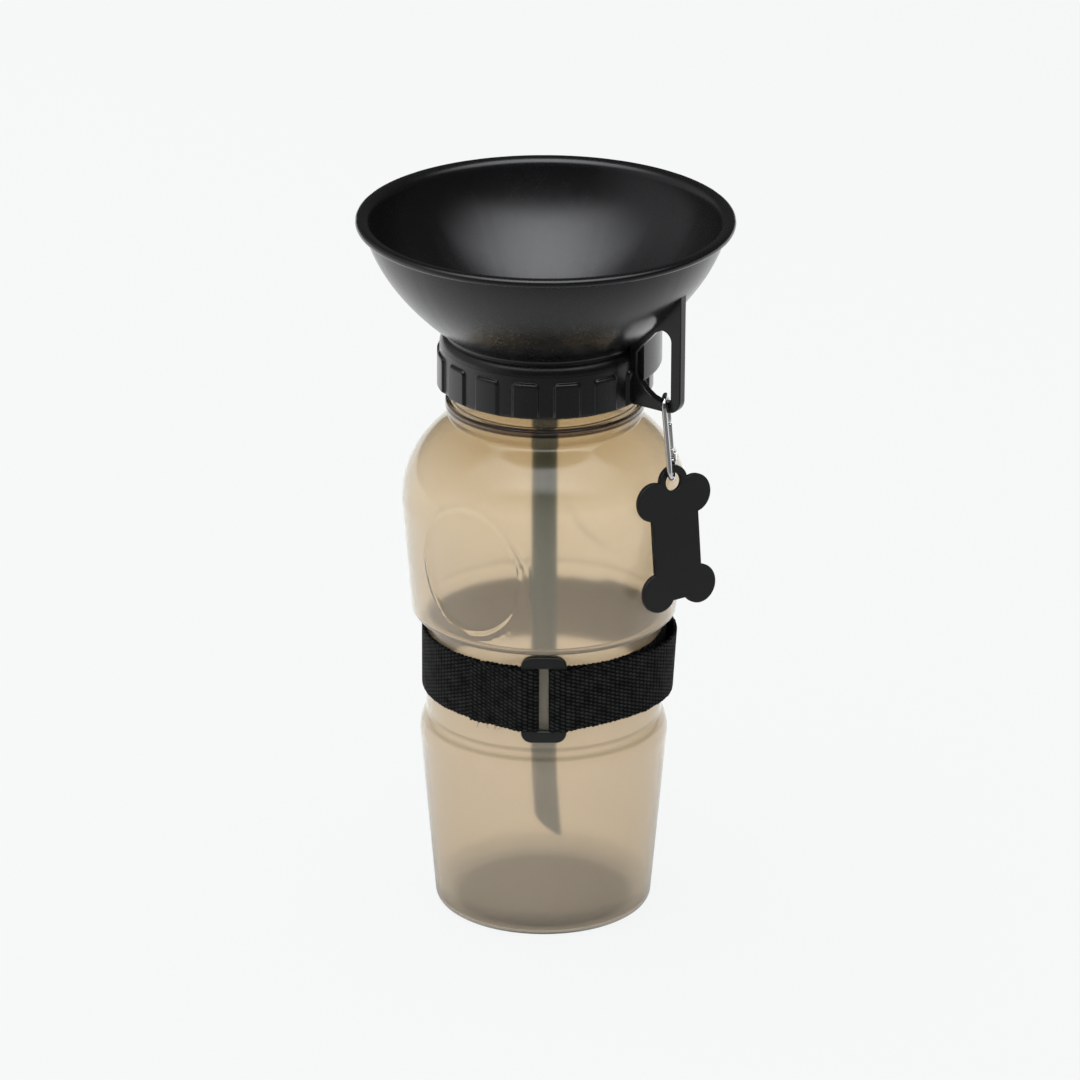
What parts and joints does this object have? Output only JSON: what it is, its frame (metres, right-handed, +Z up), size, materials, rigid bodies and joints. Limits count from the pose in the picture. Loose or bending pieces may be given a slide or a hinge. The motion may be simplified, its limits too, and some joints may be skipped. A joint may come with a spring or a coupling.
{
  "type": "dog travel water bottle",
  "caption": "Squeeze bottle with a screw-on drinking bowl, inner dip tube, webbing hand strap and a bone-shaped tag on a small snap hook.",
  "frame": {"origin": "bottom centre of the base, on the bottle's axis", "axes": "+Z up along the bottle's axis, +X towards the carry bracket, +Y towards one thumb grip"},
  "size_m": [0.118, 0.118, 0.2295],
  "materials": {
    "smoke_plastic": "translucent smoke, smooth",
    "black_plastic": "satin black",
    "tube_plastic": "translucent grey-green",
    "silicone": "matte",
    "webbing": "woven black polypropylene",
    "thread": "black sewing thread",
    "fastening_tape": "black hook and loop tape",
    "chrome_wire": "polished",
    "spring_steel": "plain",
    "tag_coat": "satin black, blank"
  },
  "bodies": {
    "bottle": {"bottle": "smoke_plastic"},
    "seal": {"neck_seal": "silicone"},
    "tube": {"dip_tube": "tube_plastic"},
    "cap": {"bowl_cap": "black_plastic"},
    "strap": {"strap_webbing": "webbing", "strap_buckle": "black_plastic", "strap_stitching": "thread", "hook_patch": "fastening_tape", "loop_patch": "fastening_tape"},
    "hook": {"snap_hook": "chrome_wire", "gate_pin": "spring_steel"},
    "gate": {"snap_gate": "chrome_wire", "gate_spring": "spring_steel"},
    "tag": {"bone_tag": "tag_coat"}
  },
  "joints": [
    {"name": "cap_lift", "type": "slide", "parent": "bottle", "child": "seal", "axis": [0, 0, 1], "range_m": [0, 0.2]},
    {"name": "cap_rise", "type": "slide", "parent": "seal", "child": "tube", "axis": [0, 0, 1], "range_m": [0, 0.005]},
    {"name": "cap_turn", "type": "hinge", "parent": "tube", "child": "cap", "pos_m": [0, 0, 0.19], "axis": [0, 0, 1], "range_deg": [0, 450.2]},
    {"name": "strap_turn", "type": "hinge", "parent": "bottle", "child": "strap", "pos_m": [0, 0, 0.084], "axis": [0, 0, 1], "continuous": true},
    {"name": "hook_swing", "type": "hinge", "parent": "cap", "child": "hook", "pos_m": [0.0446, 0, 0.1761], "axis": [1, 0, 0], "range_deg": [-70, 0]},
    {"name": "gate_swing", "type": "hinge", "parent": "hook", "child": "gate", "pos_m": [0.04514, 0.00313, 0.15886], "axis": [0.9151, 0.3907, 0.0994], "range_deg": [0, 22], "stiffness_Nm_per_rad": 0.002, "springref_deg": -5.73},
    {"name": "tag_swing", "type": "hinge", "parent": "hook", "child": "tag", "pos_m": [0.04714, 0, 0.15274], "axis": [0.7071, -0.7071, 0], "range_deg": [0, 40]}
  ],
  "couplings": [
    {"joint": "cap_turn", "follows": "cap_rise", "rad_per_m": 1570.8}
  ]
}
